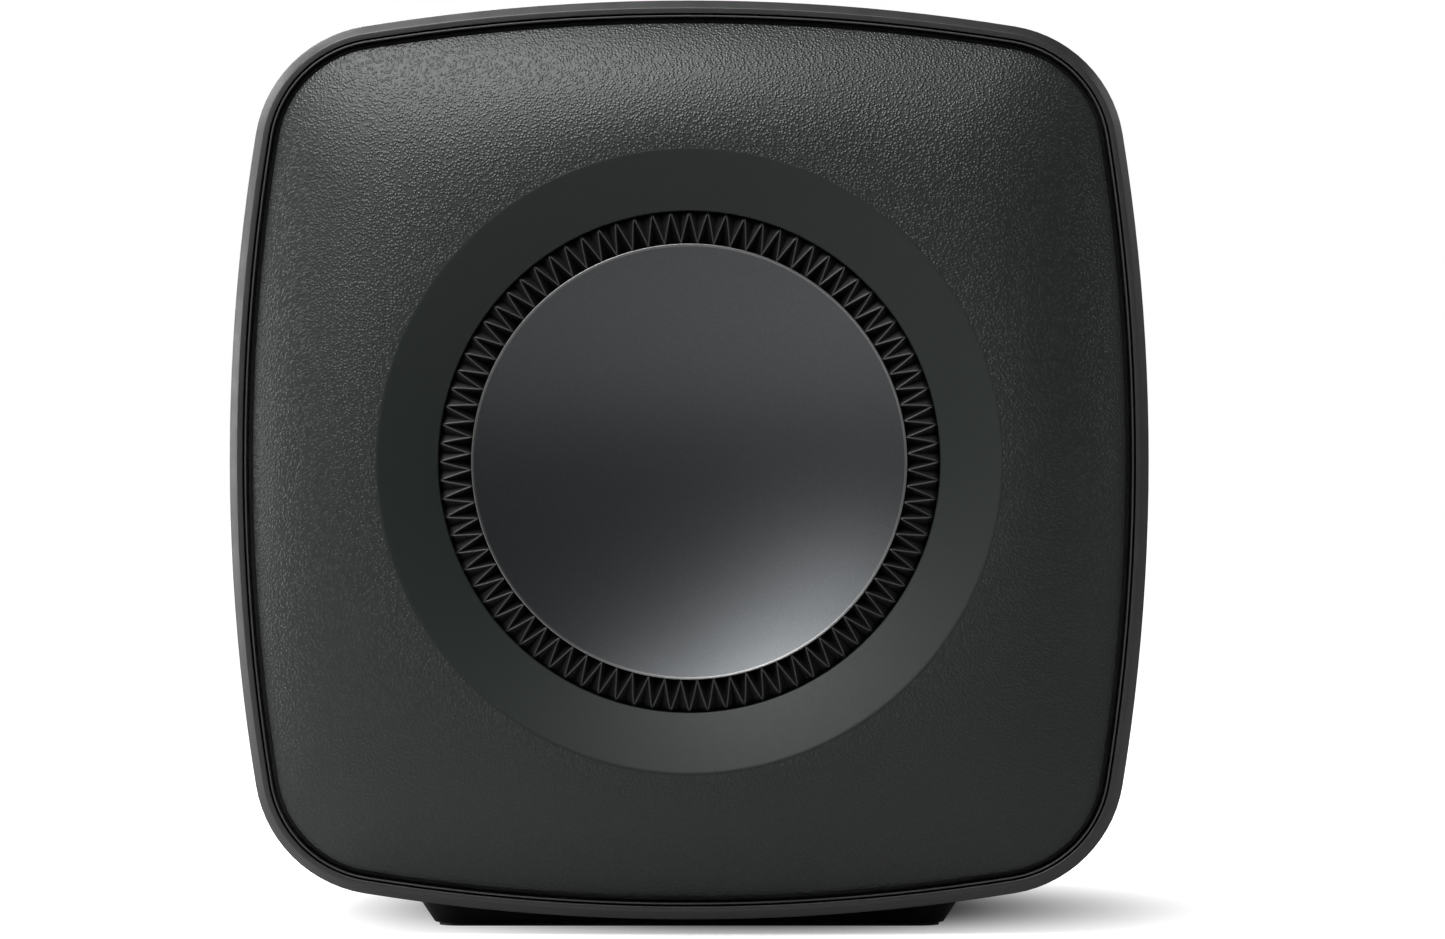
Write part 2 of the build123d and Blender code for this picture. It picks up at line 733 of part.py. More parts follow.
def make_inlet():
    """A three-pole mains inlet: a flanged housing with a deep recess."""
    x, z = inlet_place
    face_y = plate_y + inlet_flange_t
    housing = rear_block(x, z, *inlet_size, plate_y - inlet_depth - 5, plate_y + 0.5, 1.5)
    housing += rear_block(x, z, *inlet_flange, plate_y, face_y, 3)
    housing -= rear_block(x, z, *inlet_recess, face_y - inlet_depth, face_y + through, 1.2)
    for side in (-inlet_ear, inlet_ear):
        housing -= rod_y(x + side, middle_z + z, 1.7, plate_y - through, face_y + through)
    return housing


def make_contacts():
    """The speaker header's pins and the mains inlet's blades."""
    x, z = terminal_place
    low = plate_y - terminal_depth
    first = x - terminal_pitch * (terminal_ways - 1) / 2
    contacts = [rear_block(first + terminal_pitch * k, z, 1, 1, low, low + 4) for k in range(terminal_ways)]
    x, z = inlet_place
    low = plate_y + inlet_flange_t - inlet_depth
    contacts += [rear_block(x + dx, z + dz, *blade_size, low, plate_y) for dx, dz in inlet_blades]
    return group(contacts)


def make_rocker_frame():
    x, z = rocker_place
    frame = rear_block(x, z, *rocker_size, plate_y - 18, plate_y + 0.5, 0.8)
    frame += rear_block(x, z, *rocker_bezel, plate_y, plate_y + rocker_bezel_t, 1.5)
    return frame - rear_block(x, z, *rocker_well, plate_y - rocker_well_depth, plate_y + 3, 0.5)


def make_rocker():
    """The power rocker, shallow V faced, pressed in at its top."""
    x, z = rocker_place[0], middle_z + rocker_place[1]
    middle_y = 5.6
    side = Plane(origin=(x - rocker_width / 2, rocker_pivot_y, z), x_dir=(0, 1, 0), z_dir=(1, 0, 0))
    face = side * make_face(Polyline(
        (-2.0, -5.0), (-2.0, 5.0), (2.4, rocker_half), (middle_y + rocker_rise, rocker_half),
        (middle_y, 0), (middle_y + rocker_rise, -rocker_half), (2.4, -rocker_half), close=True,
    ))
    pivot = Pos(x, rocker_pivot_y, z)
    return pivot * Rot(rocker_tilt, 0, 0) * pivot.inverse() * extrude(face, rocker_width)


# ---- electronics and the rest of the inside ----
def make_tray():
    """A base tray that follows the wrap's floor and takes the plinth screws."""
    tray = block(-74, 74, -60, 60, 0, tray_top) & section_slab(wrap_wall + bond_gap, -80, 80)
    for x0, x1 in ((-48, -4), (4, 48)):
        tray -= block(x0, x1, -52, 52, 0, tray_top - tray_wall)
    for x, y in plinth_screw_places:
        tray -= rod_z(x, y, 1.6, 0, tray_top - tray_wall)
    return tray


def make_standoffs():
    posts = [rod_z(x, y, 3, tray_top, power_board_z) for x in (-62, 62) for y in (-46, 46)]
    for x in (-62, 62):
        posts.append(rod_y(x, middle_z + 28, 2.5, amp_board_y + board_t, plate_back_y))
    for x in (-61, 61):
        posts.append(rod_y(x, middle_z - 38, 2.0, input_board_y + board_t, plate_back_y))
    return group(posts)


def make_amplifier_board():
    return rear_block(0, 49, 132, 52, amp_board_y, amp_board_y + board_t)


def make_input_board():
    return rear_block(0, -10, 130, 62, input_board_y, socket_y)


def make_power_board():
    return block(-70, 70, -54, 54, power_board_z, power_board_z + board_t)


def make_capacitors():
    """Reservoir capacitors on the power board and rail capacitors on the amplifier board."""
    caps = []
    radius, height = reservoir
    low = power_board_z + board_t
    for x, y in reservoir_places:
        can = rod_z(x, y, radius, low, low + height)
        caps.append(fillet(can.faces().sort_by(Axis.Z)[-1].edges(), 1.2))
    radius, height = rail_capacitor
    for x in (-44, -18):
        can = rod_y(x, middle_z + 34, radius, amp_board_y - height, amp_board_y)
        caps.append(fillet(can.faces().sort_by(Axis.Y)[0].edges(), 1.0))
    return group(caps)


def make_transformer():
    """A split-bobbin transformer: a square ferrite frame, its centre leg and the winding round it."""
    z = power_board_z + board_t
    core = block(2, 46, -40, -4, z, z + 34) - block(9, 39, -41, -3, z + 8, z + 26)
    winding = block(10, 38, -46, 2, z + 1, z + 33) - block(10, 38, -39.8, -4.2, z, z + 34)
    centre = block(18, 30, -39.6, -4.4, z + 8.4, z + 25.6)
    return group([core, winding, centre])


def make_inductors():
    z = power_board_z + board_t + 7
    return group([Pos(x, 32, z) * Torus(9, 4) for x in choke_places])


def make_power_devices():
    """Four output devices on the amplifier board, clamped to the heat spreader."""
    width, height, thick = device_size
    low = amp_board_y + board_t
    return group([rear_block(x, device_row, width, height, low, low + thick) for x in (-36, -12, 12, 36)])


def make_heat_spreader():
    low = amp_board_y + board_t + device_size[2]
    return rear_block(0, device_row, 96, device_size[1], low, plate_back_y, 1)


def make_leads():
    """Driver leads, two to each driver, from the amplifier board to the basket."""
    leads = []
    first_y = amp_board_y - 0.1
    for dz in (0, 5):
        z = middle_z + 30 + dz
        path = FilletPolyline((58, first_y, z), (58, 78, z), (90, 70, z - 16), (90, 66, z - 30), radius=6)
        start = Plane(origin=(58, first_y, z), z_dir=(0, -1, 0))
        leads.append(sweep(start * Circle(lead_radius), path=path))
    return group([s for lead in leads for s in both_sides(lead)])


def make_damping_pad():
    """A felt pad behind the front skin."""
    return block(-80, 80, -112, -98, middle_z - 62, middle_z + 62)


# ---- plinth and light ----
def make_plinth():
    """A shallow drafted plinth under the wrap, cut to the wrap's curve."""
    height = plinth_top - pad_thickness
    slope = math.degrees(math.atan2(plinth_draft, height))
    foot = Plane.XY.offset(pad_thickness) * RectangleRounded(
        2 * (plinth_half_width - plinth_draft),
        2 * (plinth_half_depth - plinth_draft),
        plinth_corner - plinth_draft,
    )
    body = extrude(foot, height, taper=-slope)
    body = fillet(body.faces().sort_by(Axis.Z)[0].edges(), plinth_foot_radius)
    body -= section_slab(-0.02, -rim_x, rim_x)
    for x, y in plinth_screw_places:
        body -= rod_z(x, y, 2.2, 0, tray_top)
        body -= rod_z(x, y, 4.2, 0, pad_thickness + screw_well_depth)
    return body


def make_pad():
    inset = plinth_draft + pad_inset
    face = RectangleRounded(
        2 * (plinth_half_width - inset), 2 * (plinth_half_depth - inset), plinth_corner - inset
    )
    return extrude(face, pad_thickness)


def make_plinth_screws():
    radius, height = plinth_screw_head
    seat = pad_thickness + screw_well_depth
    screws = []
    for x, y in plinth_screw_places:
        head = rod_z(x, y, radius, seat - height, seat)
        screws.append(head + rod_z(x, y, 1.55, seat - 0.1, 11.5))
    return group(screws)


def make_light():
    """A light pipe pressed into the front skin."""
    skin = skin_reach(light_z - middle_z)
    return rod_y(0, light_z, light_radius, -skin - 0.1, 9 - skin)


os.makedirs("parts", exist_ok=True)

save(make_wrap(), "cabinet_wrap")
save(group(both_sides(make_end_frame())), "end_frames")
save(group(both_sides(make_panel_gasket()) + both_sides(make_basket_gasket())), "side_gaskets")
save(group(both_sides(make_edge_seal())), "edge_seals")
save_pair(make_side_panel(), "side_panel")
save(make_tie_rods(), "tie_rods")
save_pair(make_trim_ring(), "trim_ring")

save_pair(make_basket(), "basket")
save(make_driver_screws(), "driver_screws")
save_pair(make_surround(), "surround")
save_pair(make_cone(), "cone")
save_pair(make_voice_coil(), "voice_coil")
save_pair(make_spider(), "spider")
save(group(both_sides(disc(magnet_x, basket_foot_x, motor_radius, gap_radius))), "top_plates")
save(group(both_sides(disc(yoke_x, magnet_x, motor_radius - 1, magnet_bore))), "magnets")
save(group(both_sides(make_yoke())), "yokes")
save(make_motor_spacer(), "motor_spacer")

save(make_rear_frame(), "rear_frame")
save(make_rear_gasket(), "rear_gasket")
save(make_rear_panel(), "rear_panel")
save(make_heatsink(), "heatsink")
save(group([make_rear_screw(x, middle_z + z) for x, z in rear_screw_places]), "rear_panel_screws")
for name, place in knob_places.items():
    save(make_knob(place), name)
save(make_pots(), "rotary_controls")
for name, place in slider_places.items():
    save(make_slider(place), name)
save(make_slide_bodies(), "slide_switch_bodies")
save(make_rca(), "phono_sockets")
save(make_rca_inserts(), "phono_inserts")
save(make_terminal(), "speaker_terminal")
save(make_aux_sockets(), "aux_sockets")
save(make_inlet(), "mains_inlet")
save(make_contacts(), "socket_contacts")
save(make_rocker_frame(), "rocker_frame")
save(make_rocker(), "power_rocker")

save(make_tray(), "base_tray")
save(make_standoffs(), "board_standoffs")
save(make_amplifier_board(), "amplifier_board")
save(make_input_board(), "input_board")
save(make_power_board(), "power_board")
save(make_capacitors(), "capacitors")
save(make_transformer(), "transformer")
save(make_inductors(), "inductors")
save(make_power_devices(), "power_devices")
save(make_heat_spreader(), "heat_spreader")
save(make_leads(), "driver_leads")
save(make_damping_pad(), "damping_pad")
save(make_light(), "status_light")
save(make_plinth(), "plinth")
save(make_pad(), "base_pad")
save(make_plinth_screws(), "plinth_screws")

print(len(written), "sub-parts")
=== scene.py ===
import json
import math

import bmesh
import bpy
from mathutils import Matrix, Vector


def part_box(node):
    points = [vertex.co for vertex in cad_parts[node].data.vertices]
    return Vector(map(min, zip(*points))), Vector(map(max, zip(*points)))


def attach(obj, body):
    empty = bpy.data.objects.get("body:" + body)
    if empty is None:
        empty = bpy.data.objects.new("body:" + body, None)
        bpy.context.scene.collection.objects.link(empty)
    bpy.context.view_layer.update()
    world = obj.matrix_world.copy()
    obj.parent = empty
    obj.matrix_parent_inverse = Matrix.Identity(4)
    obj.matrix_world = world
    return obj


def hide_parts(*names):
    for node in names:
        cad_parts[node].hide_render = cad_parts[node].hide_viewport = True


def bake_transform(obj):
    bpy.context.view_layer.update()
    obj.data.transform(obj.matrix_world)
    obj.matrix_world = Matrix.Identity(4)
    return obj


# A compact powered subwoofer: a bowed metal wrap, domed and grained side panels, and on each
# side a dished cone in a pleated rubber surround. Everything is in metres, in the CAD frame.

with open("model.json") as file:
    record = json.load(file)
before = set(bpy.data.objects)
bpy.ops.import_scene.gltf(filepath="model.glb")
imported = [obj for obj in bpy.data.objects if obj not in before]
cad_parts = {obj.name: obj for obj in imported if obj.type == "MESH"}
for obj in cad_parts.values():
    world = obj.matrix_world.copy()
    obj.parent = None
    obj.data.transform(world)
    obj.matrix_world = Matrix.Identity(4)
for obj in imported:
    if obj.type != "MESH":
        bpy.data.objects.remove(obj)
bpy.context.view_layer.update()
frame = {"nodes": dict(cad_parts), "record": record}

MM = 0.001

# ---- sizes taken from the frame ----
wrap_low, wrap_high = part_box("cabinet_wrap")
panel_low, panel_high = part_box("side_panel_right")
ring_low, ring_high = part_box("trim_ring_right")
cone_low, cone_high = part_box("cone_right")
surround_low, surround_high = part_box("surround_right")
seal_low, seal_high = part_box("edge_seals")
rear_low, rear_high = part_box("rear_panel")

RIM_X = wrap_high.x
HALF_SECTION = (wrap_high.z - wrap_low.z) / 2
MIDDLE_Z = (wrap_high.z + wrap_low.z) / 2
DRIVER_Z = (ring_high.z + ring_low.z) / 2
RING_RADIUS = (ring_high.z - ring_low.z) / 2
CONE_RADIUS = (cone_high.z - cone_low.z) / 2
APEX_X = panel_high.x
PANEL_FOOT_X = panel_low.x
PANEL_INSET = HALF_SECTION - (panel_high.z - panel_low.z) / 2
CONE_EDGE_X = cone_high.x
FLANGE_X = surround_low.x

# ---- shape of the section, as in the CAD ----
SIDE_RADIUS = 539 * MM
CORNER_RADIUS = 34.25 * MM
WRAP_WALL = 3.5 * MM
RIM_CHAMFER = 2.1 * MM
PANEL_WALL = 5 * MM
DOME_START = math.radians(50)        # where the dome's profile leaves the edge, into its ellipse
PANEL_EDGE_X = RIM_X
CONE_DEPTH = 13 * MM
CONE_THICKNESS = 1.2 * MM
SURROUND_RADIUS = 65.6 * MM
SURROUND_X = APEX_X - 7.1 * MM

PANEL_ROUND_OFF = 0.25 * MM          # easing of the panel's outer edge
LEDGE_RADIUS = 68 * MM               # the panel's ledge under the ring reaches in to this radius
RING_HOLLOW_INNER = 69.5 * MM        # the ring is hollow underneath between these radii
RING_HOLLOW_OUTER = 79.4 * MM
RING_CREST = 2.4 * MM
CONE_LIP = 0.45 * MM
SEAL_DEPTH = 10.6 * MM               # from the lip's top down to the channel's floor

PLEATS = 84
PLEATS_PER_SECTOR = 4
PLEAT_DEPTH_INNER = 4.2 * MM
PLEAT_DEPTH_OUTER = 2.6 * MM
PLEAT_TOP_X = SURROUND_X - 0.6 * MM
RUBBER_THICKNESS = 0.4 * MM
# half width of the painted highlight along each ridge
RIDGE_HIGHLIGHT_HALF_WIDTH = 0.22 * MM

AROUND = 256                 # steps round a turned piece
SIDE_STEPS = 22              # steps along each bowed side of the section
CORNER_STEPS = 14            # steps round each corner of the section

SIDES = (("right", 1), ("left", -1))


# ---- mesh helpers ----
def make_object(name, vertices, faces, material, sharp_angle=32):
    """A smooth-shaded mesh object with its creases kept where faces meet at more than sharp_angle."""
    mesh = bpy.data.meshes.new(name)
    mesh.from_pydata(vertices, [], faces)
    work = bmesh.new()
    work.from_mesh(mesh)
    bmesh.ops.remove_doubles(work, verts=work.verts, dist=1e-7)
    bmesh.ops.recalc_face_normals(work, faces=work.faces)
    work.to_mesh(mesh)
    work.free()
    mesh.shade_smooth()
    mesh.set_sharp_from_angle(angle=math.radians(sharp_angle))
    mesh.materials.append(material)
    piece = bpy.data.objects.new(name, mesh)
    bpy.context.scene.collection.objects.link(piece)
    return piece


def finish_piece(piece, body, slot, *nodes):
    """Says what a rigid piece rides on and which CAD nodes it stands for. slot, the finish it would take, is
    not used.
    """
    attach(piece, body)
    if nodes:
        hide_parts(*nodes)
    return piece


def soften(points, radius, steps=4):
    """A closed outline with each corner rounded. A point may carry its own radius as a third value."""
    rounded = []
    count = len(points)
    for i, point in enumerate(points):
        here = Vector(point[:2])
        before = Vector(points[i - 1][:2]) - here
        after = Vector(points[(i + 1) % count][:2]) - here
        wanted = point[2] if len(point) > 2 else radius
        angle = before.angle(after, math.pi)
        if wanted <= 0 or angle > math.radians(178):
            rounded.append(tuple(here))
            continue
        reach = wanted / math.tan(angle / 2)
        reach = min(reach, before.length * 0.45, after.length * 0.45)
        start, end = here + before.normalized() * reach, here + after.normalized() * reach
        for k in range(steps + 1):
            t = k / steps
            curve = start * (1 - t) ** 2 + here * 2 * t * (1 - t) + end * t ** 2
            rounded.append(tuple(curve))
    return rounded


def loops_to_faces(loop_count, loop_size, closed):
    """Quads that join each loop of points to the next one, and the last to the first if closed."""
    faces = []
    for row in range(loop_count if closed else loop_count - 1):
        a, b = row * loop_size, ((row + 1) % loop_count) * loop_size
        for k in range(loop_size):
            n = (k + 1) % loop_size
            faces.append((a + k, a + n, b + n, b + k))
    return faces


def turned(name, profile, material, sign=1, around=AROUND, closed=True, sharp_angle=32):
    """A solid of revolution about the driver axis. Each profile point is (x, radius)."""
    vertices = []
    for x, r in profile:
        for k in range(around):
            a = 2 * math.pi * k / around
            vertices.append((sign * x, r * math.cos(a), DRIVER_Z + r * math.sin(a)))
    faces = loops_to_faces(len(profile), around, closed)
    return make_object(name, vertices, faces, material, sharp_angle)


# ---- the section: four bowed sides and four corners, all tangent ----
def section_outline(inset):
    """(y, z) points round the section from its middle, made smaller by inset."""
    reach = HALF_SECTION - inset
    side_r, corner_r = SIDE_RADIUS - inset, CORNER_RADIUS - inset
    back = side_r - reach
    c = (-back + math.sqrt(2 * (side_r - corner_r) ** 2 - back ** 2)) / 2
    half_angle = math.atan2(c, c + back)
    points = []
    for quarter in range(4):
        turn = Matrix.Rotation(quarter * math.pi / 2, 2)
        for k in range(SIDE_STEPS):
            a = half_angle * (2 * k / SIDE_STEPS - 1)
            points.append(turn @ Vector((-back + side_r * math.cos(a), side_r * math.sin(a))))
        sweep = math.pi / 2 - 2 * half_angle
        for k in range(CORNER_STEPS):
            a = half_angle + sweep * k / CORNER_STEPS
            points.append(turn @ Vector((c + corner_r * math.cos(a), c + corner_r * math.sin(a))))
    return points


def section_loop(x, inset, share=0.0, circle=0.0):
    """The outline at x. share turns it from the rounded square into a circle about the driver axis."""
    drop = DRIVER_Z - MIDDLE_Z
    loop = []
    for p in section_outline(inset):
        angle = math.atan2(p.y, p.x)
        round_y, round_z = circle * math.cos(angle), circle * math.sin(angle) + drop
        y, z = p.x + (round_y - p.x) * share, p.y + (round_z - p.y) * share
        loop.append((x, y, MIDDLE_Z + z))
    return loop


def from_loops(name, loops, material, sign=1, closed=True, sharp_angle=32):
    vertices = [(sign * x, y, z) for loop in loops for x, y, z in loop]
    faces = loops_to_faces(len(loops), len(loops[0]), closed)
    return make_object(name, vertices, faces, material, sharp_angle)


# ---- material helpers ----
class Nodes:
    """A small wrapper that makes and joins shader nodes."""

    def __init__(self, name):
        self.material = bpy.data.materials.new(name)
        self.material.use_nodes = True
        self.tree = self.material.node_tree
        self.shader = self.tree.nodes["Principled BSDF"]
        self.coordinates = self.tree.nodes.new("ShaderNodeTexCoord").outputs["Object"]

    def set(self, **values):
        for socket, value in values.items():
            self.shader.inputs[socket.replace("_", " ")].default_value = value

    def join(self, output, target):
        self.tree.links.new(output, target)

    def noise(self, scale, detail=2.0, roughness=0.5, stretch=None):
        node = self.tree.nodes.new("ShaderNodeTexNoise")
        node.inputs["Scale"].default_value = scale
        node.inputs["Detail"].default_value = detail
        node.inputs["Roughness"].default_value = roughness
        self.join(self.stretched(stretch), node.inputs["Vector"])
        return node.outputs["Fac"]

    def cells(self, scale, feature):
        node = self.tree.nodes.new("ShaderNodeTexVoronoi")
        node.feature = feature
        node.inputs["Scale"].default_value = scale
        self.join(self.coordinates, node.inputs["Vector"])
        return node.outputs["Distance"]

    def stretched(self, stretch, shift=(0, 0, 0)):
        if stretch is None:
            return self.coordinates
        node = self.tree.nodes.new("ShaderNodeMapping")
        node.inputs["Scale"].default_value = stretch
        node.inputs["Location"].default_value = shift
        self.join(self.coordinates, node.inputs["Vector"])
        return node.outputs["Vector"]

    def spread(self, value, low, high, from_low=0.0, from_high=1.0):
        node = self.tree.nodes.new("ShaderNodeMapRange")
        node.inputs["From Min"].default_value = from_low
        node.inputs["From Max"].default_value = from_high
        node.inputs["To Min"].default_value = low
        node.inputs["To Max"].default_value = high
        self.join(value, node.inputs["Value"])
        return node.outputs["Result"]

    def math(self, operation, a, b):
        node = self.tree.nodes.new("ShaderNodeMath")
        node.operation = operation
        for socket, value in zip(node.inputs, (a, b)):
            if isinstance(value, (int, float)):
                socket.default_value = value
            else:
                self.join(value, socket)
        return node.outputs["Value"]

    def mix(self, factor, colour_a, colour_b):
        node = self.tree.nodes.new("ShaderNodeMix")
        node.data_type = "RGBA"
        self.join(factor, node.inputs["Factor"])
        for name, value in (("A", colour_a), ("B", colour_b)):
            socket = [s for s in node.inputs if s.name == name and s.type == "RGBA"][0]
            if isinstance(value, (tuple, list)):
                socket.default_value = (*value[:3], 1)
            else:
                self.join(value, socket)
        return [s for s in node.outputs if s.type == "RGBA"][0]

    def split(self):
        node = self.tree.nodes.new("ShaderNodeSeparateXYZ")
        self.join(self.coordinates, node.inputs["Vector"])
        return node.outputs["X"], node.outputs["Y"], node.outputs["Z"]

    def bump(self, height, distance, edge_radius=0.0):
        node = self.tree.nodes.new("ShaderNodeBump")
        node.inputs["Distance"].default_value = distance
        node.inputs["Strength"].default_value = 1.0
        self.join(height, node.inputs["Height"])
        if edge_radius:
            bevel = self.tree.nodes.new("ShaderNodeBevel")
            bevel.samples = 6
            bevel.inputs["Radius"].default_value = edge_radius
            self.join(bevel.outputs["Normal"], node.inputs["Normal"])
        return node.outputs["Normal"]

    def colour(self, output):
        self.join(output, self.shader.inputs["Base Color"])

    def roughness(self, output):
        self.join(output, self.shader.inputs["Roughness"])

    def normal(self, output):
        self.join(output, self.shader.inputs["Normal"])


def grey(level, tint=0.0):
    """A near-neutral colour, a touch cooler for a positive tint."""
    return (level * (1 - tint), level, level * (1 + tint))


def moulded(name, colour, roughness=0.5, grain=1500, height=0.01 * MM, spread=0.12,
            edge=0.25 * MM, metallic=0.0, specular=0.5, mottle=60):
    """A general finish: slow mottling in colour, fine grain in roughness and bump, softened edges."""
    m = Nodes(name)
    slow = m.noise(mottle, 3)
    fine = m.noise(grain, 3, 0.6)
    dark = tuple(c * (1 - spread) for c in colour)
    light = tuple(min(1, c * (1 + spread)) for c in colour)
    m.colour(m.mix(slow, dark, light))
    m.roughness(m.spread(m.noise(grain / 9, 3), roughness - 0.06, roughness + 0.06, 0.3, 0.7))
    m.normal(m.bump(fine, height, edge_radius=edge))
    m.set(Metallic=metallic, Specular_IOR_Level=specular)
    return m.material


def wrap_finish():
    """Satin graphite lacquer over aluminium, very slightly orange-peeled."""
    m = Nodes("wrap_lacquer")
    m.colour(m.mix(m.noise(35, 3), grey(0.010), grey(0.013)))
    m.roughness(m.spread(m.noise(140, 4), 0.36, 0.44, 0.3, 0.7))
    peel = m.math("ADD", m.noise(420, 2), m.math("MULTIPLY", m.noise(2600, 2), 0.25))
    m.normal(m.bump(peel, 0.012 * MM, edge_radius=0.25 * MM))
    m.set(Specular_IOR_Level=0.6)
    return m.material


def panel_finish():
    """Textured paint: small glossy pimples, a millimetre or so apart, on a duller ground, their tops painted
    paler as a painted highlight.
    """
    m = Nodes("panel_grain_paint")
    pimples = m.spread(m.cells(1350, "F1"), 1, 0, 0.10, 0.60)
    wander = m.noise(2300, 2, 0.6)
    height = m.math("ADD", pimples, m.math("MULTIPLY", wander, 0.5))
    base = m.mix(m.noise(60, 3), (0.0014, 0.0034, 0.0027), (0.0022, 0.0043, 0.0035))
    # the pimples' paler tops are a painted highlight
    m.colour(m.mix(m.spread(pimples, 0, 1, 0.45, 0.95), base, (0.0150, 0.0160, 0.0155)))
    m.roughness(m.spread(pimples, 0.46, 0.27))
    m.normal(m.bump(height, 0.115 * MM))
    m.set(Specular_IOR_Level=0.5)
    return m.material


def ring_finish():
    """Smooth matte plastic with a very fine even texture."""
    m = Nodes("ring_matte")
    m.colour(m.mix(m.noise(45, 3), (0.0046, 0.0080, 0.0066), (0.0056, 0.0092, 0.0077)))
    m.roughness(m.spread(m.noise(900, 3), 0.50, 0.56, 0.3, 0.7))
    m.normal(m.bump(m.noise(4200, 2), 0.006 * MM, edge_radius=0.2 * MM))
    m.set(Specular_IOR_Level=0.33)
    return m.material


def rubber_finish(name, level=0.005, roughness=0.34, grain=2400):
    """Black rubber, faintly dusty on the high side of its noise."""
    m = Nodes(name)
    m.colour(m.mix(m.spread(m.noise(260, 4, 0.6), 0, 1, 0.4, 0.75), grey(level), grey(level * 1.7)))
    m.roughness(m.spread(m.noise(700, 3), roughness - 0.07, roughness + 0.09, 0.3, 0.7))
    m.normal(m.bump(m.noise(grain, 3), 0.01 * MM))
    m.set(Specular_IOR_Level=0.5)
    return m.material


def pleat_finish():
    """Dull black rubber, with a painted highlight along its folds: a paler grey where the mesh marks them in
    "fold".
    """
    m = Nodes("surround_black_rubber")
    fold = m.tree.nodes.new("ShaderNodeAttribute")
    fold.attribute_name = "fold"
    ridge = fold.outputs["Fac"]
    # the paler grey along the folds is a painted highlight
    m.colour(m.mix(ridge, m.mix(m.noise(500, 3), grey(0.0018), grey(0.0035)), grey(0.038)))
    m.roughness(m.spread(ridge, 0.46, 0.30))
    m.normal(m.bump(m.noise(2400, 3), 0.01 * MM))
    m.set(Specular_IOR_Level=0.3)
    return m.material


def cone_finish():
    """Dark anodised aluminium with a fine blasted sparkle, and a painted highlight round its rim: a paler
    metal line.
    """
    m = Nodes("cone_anodised")
    sparkle = m.spread(m.noise(5200, 2, 0.6), 0, 1, 0.42, 0.66)
    skin = m.mix(sparkle, grey(0.063, 0.045), grey(0.084, 0.045))
    from_axis = m.tree.nodes.new("ShaderNodeVectorMath")
    from_axis.operation = "LENGTH"
    m.join(m.stretched((0, 1, 1), (0, 0, -DRIVER_Z)), from_axis.inputs[0])
    # painted highlight: the dish's outer 0.7 mm is painted a paler metal
    rim_highlight = m.math("GREATER_THAN", from_axis.outputs["Value"], CONE_RADIUS - 0.70 * MM)
    m.colour(m.mix(rim_highlight, skin, grey(0.20)))
    m.roughness(m.spread(m.noise(2500, 3), 0.32, 0.37, 0.3, 0.7))
    m.normal(m.bump(sparkle, 0.004 * MM, edge_radius=0.15 * MM))
    m.set(Metallic=1.0)
    return m.material


def metal_finish(name, colour, roughness=0.3, stretch=(1, 1, 1), grain=900, height=0.004 * MM,
                 edge=0.2 * MM, metallic=1.0):
    """Bare or plated metal with a brushed or ground grain along the stretched axes."""
    m = Nodes(name)
    lines = m.noise(grain, 3, 0.6, stretch)
    dark = tuple(c * 0.82 for c in colour)
    m.colour(m.mix(m.noise(80, 3), dark, colour))
    m.roughness(m.spread(lines, roughness - 0.08, roughness + 0.1, 0.3, 0.7))
    m.normal(m.bump(lines, height, edge_radius=edge))
    m.set(Metallic=metallic)
    return m.material


def board_finish():
    """Green solder mask with faint copper tracks."""
    m = Nodes("board_solder_mask")
    tracks = m.spread(m.cells(160, "DISTANCE_TO_EDGE"), 1, 0, 0.02, 0.05)
    m.colour(m.mix(tracks, (0.008, 0.060, 0.022), (0.020, 0.110, 0.040)))
    m.roughness(m.spread(m.noise(300, 2), 0.25, 0.4))
    m.normal(m.bump(tracks, 0.03 * MM, edge_radius=0.2 * MM))
    return m.material


def cloth_finish(name, colour, scale=900):
    """Woven or felted cloth: crossed threads under a fuzzy noise."""
    m = Nodes(name)
    threads = m.math(
        "MULTIPLY", m.noise(scale, 2, 0.5, (1, 0.15, 1)), m.noise(scale, 2, 0.5, (1, 1, 0.15))
    )
    dark = tuple(c * 0.7 for c in colour)
    m.colour(m.mix(m.spread(threads, 0, 1, 0.15, 0.4), dark, colour))
    m.roughness(m.spread(m.noise(400, 2), 0.8, 0.95))
    m.normal(m.bump(threads, 0.08 * MM))
    m.set(Sheen_Weight=0.2, Sheen_Roughness=0.5)
    return m.material


def winding_finish():
    """Enamelled copper wire, in turns round the driver axis."""
    m = Nodes("copper_winding")
    turns = m.noise(2600, 1, 0.3, (1, 0.05, 0.05))
    m.colour(m.mix(turns, (0.30, 0.10, 0.03), (0.62, 0.27, 0.10)))
    m.roughness(m.spread(turns, 0.25, 0.4))
    m.normal(m.bump(turns, 0.1 * MM))
    m.set(Metallic=0.9)
    return m.material


def insert_finish():
    """Phono insulators, white for the left channel and red for the right, in pairs along X."""
    m = Nodes("phono_insulators")
    x, _, _ = m.split()
    mounts = frame["record"]["mounts"]
    places = sorted(mount["pos_m"][0] for mount in mounts if mount["name"].startswith("line_"))
    # midway between each socket and the next
    gaps = [(a + b) / 2 for a, b in zip(places, places[1:])]
    first_pair, second_pair, last = (m.math("GREATER_THAN", x, gap) for gap in gaps)
    red = m.math("ADD", m.math("SUBTRACT", first_pair, second_pair), last)
    tone = m.mix(red, (0.80, 0.79, 0.76), (0.45, 0.012, 0.012))
    m.colour(m.mix(m.spread(m.noise(300, 2), 0.0, 0.25), tone, grey(0.3)))
    m.roughness(m.spread(m.noise(500, 2), 0.3, 0.45))
    m.normal(m.bump(m.noise(1500, 2), 0.006 * MM, edge_radius=0.15 * MM))
    return m.material


